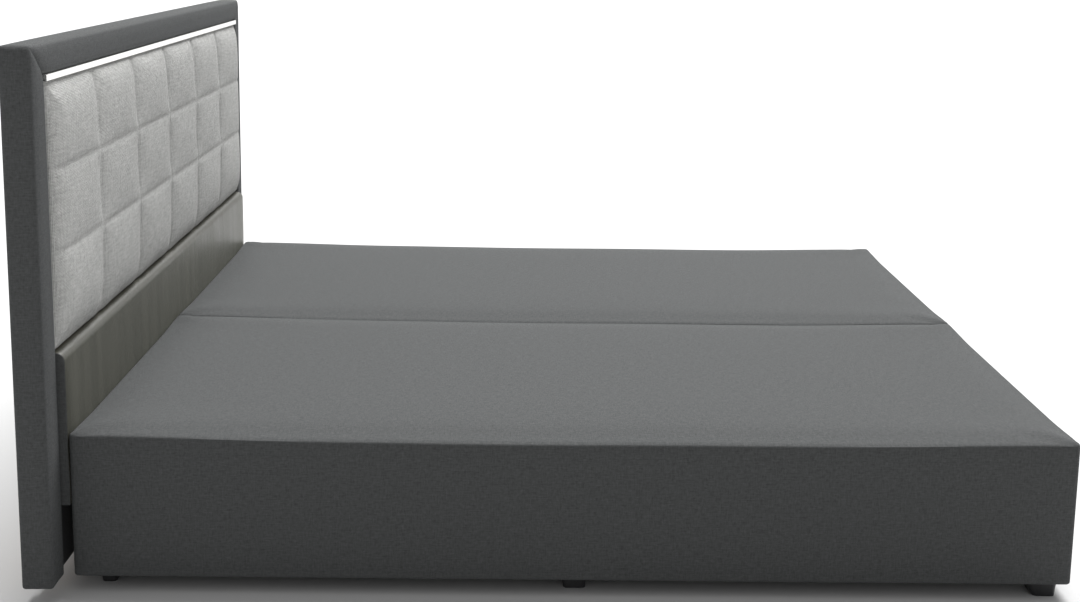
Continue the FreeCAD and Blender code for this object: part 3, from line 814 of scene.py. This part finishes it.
# %% Mirror the post
twin = copy_of(post, "left_post_cover")
bpy.ops.object.mode_set(mode="EDIT")
bpy.ops.mesh.select_all(action="SELECT")
bpy.ops.transform.resize(value=(1, -1, 1), center_override=(0, 0, 0))
done()
pick(twin, "FACE", lambda centre, normal: True)
bpy.ops.mesh.normals_make_consistent(inside=False)
done()
smooth(twin, 50)
for piece in (post, twin):
    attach(piece, "root")
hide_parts("headboard_posts")
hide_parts("headboard_posts")

# %% Top rail
rail = block("top_rail_cover", (REAR, -OUTER, RAIL_LOW), (FRONT, OUTER, RAIL_TOP))
round_edges(rail, lambda a, b: True, BAR_RADIUS, 4)
slice_up(rail, 1, 11, 0.1)
slice_up(rail, 1, 10, 0.05)
slice_up(rail, 0, 4)
slice_up(rail, 2, 4)
stuff(rail, lambda place: 1 if place.x < REAR + 0.006 or place.z < RAIL_LOW + 0.004 else 0, 0.0014)
mitre(rail, (FRONT, -INNER, RAIL_LOW), (0, -rise, -run), -1)
mitre(rail, (FRONT, INNER, RAIL_LOW), (0, rise, -run), -1)
move_points(rail, lambda place: pull_in(Vector((place.x, -abs(place.y), place.z))))
lay_cloth(rail)
rail.data.materials.append(cover_dark)
smooth(rail, 50)
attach(rail, "root")
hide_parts("headboard_top_rail")
print("headboard frame", len(post.data.polygons), len(rail.data.polygons), "faces")

# %% [markdown]
# ## Tufted panel
# Eighteen squares are quilted over thick foam. The seams are sewn down, so they are held while Cloth
# swells the squares between them. The whole cover also comes forward from its tucked edges, most of
# it within the first few centimetres. After the swelling every seam is drawn in, so that it stays
# sharp.

# %% Tufted panel
COLUMNS = 6
UPPER_ROW, MIDDLE_ROW = 0.171, 0.163
ROW_SEAMS = (panel_high.z - UPPER_ROW, panel_high.z - UPPER_ROW - MIDDLE_ROW)
PLY = panel_low.x
SWELL = 0.010
FORWARD = 0.0145
SEAM_TUCK = 0.004
SEAM_HALF = 0.004
ROW_DEEP, COLUMN_DEEP, DEEPEST = 0.0024, 0.0026, 0.003
width = panel_high.y - panel_low.y
COLUMN_SEAMS = [panel_low.y + width * i / COLUMNS for i in range(1, COLUMNS)]


def seam_distance(place):
    """How far a point is from the nearest column seam and from the nearest row seam."""
    column = min(abs(place.y - line) for line in COLUMN_SEAMS)
    row = min(abs(place.z - line) for line in ROW_SEAMS)
    return column, row


def come_forward(place):
    """Brings the front of the panel forward, away from its tucked edges."""
    if place.x < FRONT - 0.004:
        return (0, 0, 0)
    upright = min(place.z - panel_low.z, panel_high.z - place.z)
    level = min(place.y - panel_low.y, panel_high.y - place.y)
    forward = FORWARD * (1 - math.exp(-upright / 0.035)) * (1 - math.exp(-level / 0.014))
    column, row = seam_distance(place)
    forward -= SEAM_TUCK * math.exp(-(column / 0.02) ** 2) * (1 - math.exp(-(row / 0.03) ** 2))
    return (forward, 0, 0)


tufts = block("tufted_cover", panel_low, (FRONT, panel_high.y, panel_high.z))
pick(tufts, "FACE", lambda centre, normal: normal.x < -0.9)
bpy.ops.mesh.delete(type="FACE")
done()
round_edges(tufts, lambda a, b: min(a.x, b.x) > FRONT - TOUCH, 0.006, 3)
for line in ROW_SEAMS:
    saw(tufts, 2, line)
for line in COLUMN_SEAMS:
    saw(tufts, 1, line)
slice_up(tufts, 2, 9, 0.05)
slice_up(tufts, 2, 1, 0.012)
slice_up(tufts, 1, 5, 0.05)
slice_up(tufts, 1, 5, 0.03)
move_points(tufts, come_forward)


def sewn(place):
    """Holds the seams and the tucked rim."""
    column, row = seam_distance(place)
    return 1 if min(column, row) < 0.0005 or place.x < FRONT - 0.003 else 0


print("tufted grid", len(tufts.data.vertices), "points")
stuff(tufts, sewn, SWELL, 8.0)


def draw_seam(place):
    """Pulls the stitched lines in and lets the fold close within a few millimetres."""
    if place.x < FRONT - 0.002:
        return (0, 0, 0)
    column, row = seam_distance(place)
    edges = min(place.y - panel_low.y, panel_high.y - place.y)
    deep = ROW_DEEP * math.exp(-(row / SEAM_HALF) ** 2)
    deep += COLUMN_DEEP * math.exp(-(column / SEAM_HALF) ** 2)
    return (-min(deep, DEEPEST) * ease(edges / 0.02), 0, 0)


move_points(tufts, draw_seam)
apply(tufts, "SUBSURF", "finer", levels=1, render_levels=1)
pick(tufts, "VERT", lambda place: place.x < panel_low.x + 0.0005)
bpy.ops.mesh.edge_face_add()
done()
lay_cloth(tufts)
tufts.data.materials.append(cover_light)
smooth(tufts, 60)
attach(tufts, "root")
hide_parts("headboard_tufted_panel")
front_most = max(v.co.x for v in tufts.data.vertices)
print("tufted panel", len(tufts.data.polygons), "faces, crowns at", round(front_most, 4))

# %% [markdown]
# ## Smooth lower panel
# Below the squares a flat panel is wrapped in satin. Its upper edge is rolled over thick foam and
# catches the light. Its two ends are closed with the dark fabric of the posts.

# %% Lower panel
TOP_ROLL, END_ROLL = 0.018, 0.003
BEHIND_ROLL, ROLL_LOW = -0.97, 0.47
low_low, low_high = (Vector(corner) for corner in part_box("headboard_lower_panel"))
ends = panel_high.y - 0.0001


def upper_front(a, b):
    return min(a.z, b.z) > low_high.z - TOUCH and min(a.x, b.x) > BEHIND_ROLL


def end_rim(a, b):
    return abs(a.y) > ends and abs(b.y) > ends and max(a.x, b.x) > low_low.x + TOUCH


def tacked(place):
    """Holds all but the front face below its upper roll."""
    return 1 if place.x < low_high.x - 0.004 or place.z > ROLL_LOW else 0


lower = block("lower_panel_cover", low_low, low_high)
round_edges(lower, upper_front, TOP_ROLL, 7)
round_edges(lower, end_rim, END_ROLL, 3)
slice_up(lower, 1, 9, 0.1)
slice_up(lower, 1, 7, 0.1)
slice_up(lower, 2, 7, 0.1)
stuff(lower, tacked, 0.0015, 0.5)
lay_cloth(lower)
lower.data.materials.append(cover_satin)
lower.data.materials.append(cover_dark)
for face in lower.data.polygons:
    if abs(face.center.y) > low_high.y - 0.0022:
        face.material_index = 1
smooth(lower, 50)
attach(lower, "root")
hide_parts("headboard_lower_panel")

# %% [markdown]
# ## Sheets
# Three sheets close what nobody looks at: the back of the headboard and the underside of each box.
# They are stretched flat and stapled, and sag only a little between the staples.

# %% Sheets
def stretched_sheet(node, name, thin, count, slack):
    """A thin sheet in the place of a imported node, gridded so that it can sag along axis thin."""
    low, high = (Vector(corner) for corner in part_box(node))
    sheet = block(name, low, high)
    for axis in range(3):
        if axis != thin:
            slice_up(sheet, axis, count, 0.1)
    size = high - low
    size = [size[axis] for axis in range(3) if axis != thin]

    def sag(place):
        parts = [(place[axis] - low[axis]) / (high[axis] - low[axis]) for axis in range(3)
                 if axis != thin]
        depth = slack * math.prod(math.sin(math.pi * min(max(t, 0), 1)) ** 0.5 for t in parts)
        ripple = 0.15 * slack * math.sin(23 * parts[0] + 3) * math.sin(17 * parts[1])
        move = Vector((0, 0, 0))
        move[thin] = depth + ripple * (depth / slack)
        return move

    move_points(sheet, sag)
    lay_cloth(sheet)
    sheet.data.materials.append(dust_fabric)
    smooth(sheet, 40)
    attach(sheet, "root")
    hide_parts(node)
    print(name, "cut to", [round(s, 3) for s in size])
    return sheet, size


back_sheet, size = stretched_sheet("headboard_back_sheet", "back_sheet", 0, 15, 0.0015)
for side in SIDES:
    dust, size = stretched_sheet(f"{side}_dust_cover", f"{side}_dust_sheet", 2, 15, 0.0008)

# %% [markdown]
# Below the smooth panel a narrow apron of the same cloth hangs in front of the low batten, so that
# no bare wood shows through the gap between headboard and boxes.

# %% Apron
APRON_LOW, APRON_LOOSE = 0.040, 0.16


def waving(place):
    """Waves the apron a little towards its free lower edge."""
    wave = 0.0006 * math.sin(21 * place.y)
    return (wave * ease((APRON_LOOSE - place.z) / 0.1), 0, 0)


apron = block("headboard_apron", (PLY - 0.0002, -INNER + 0.001, APRON_LOW),
              (PLY + 0.0008, INNER - 0.001, low_low.z + 0.004))
slice_up(apron, 1, 39, 0.1)
slice_up(apron, 2, 5, 0.1)
move_points(apron, waving)
lay_cloth(apron)
apron.data.materials.append(dust_fabric)
smooth(apron, 40)
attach(apron, "root")

# %% [markdown]
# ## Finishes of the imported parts
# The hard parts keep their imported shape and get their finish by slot.

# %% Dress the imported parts
FINISHES = {
    "cover_dark": cover_dark, "cover_light": cover_light, "cover_satin": cover_satin,
    "dust_fabric": dust_fabric, "frame_wood": frame_wood, "plywood": plywood,
    "frame_steel": frame_steel, "zinc_steel": zinc_steel, "rod_steel": rod_steel,
    "motor_plastic": motor_plastic, "foot_plastic": foot_plastic, "trim_metal": trim_metal,
}
for name, node in frame["nodes"].items():
    for place in node.material_slots:
        place.material = FINISHES[place.material.name.split(".")[0]]
for place in frame["nodes"]["headboard_frame"].material_slots:
    place.material = spruce_across
print("dressed", len(frame["nodes"]), "packed parts")
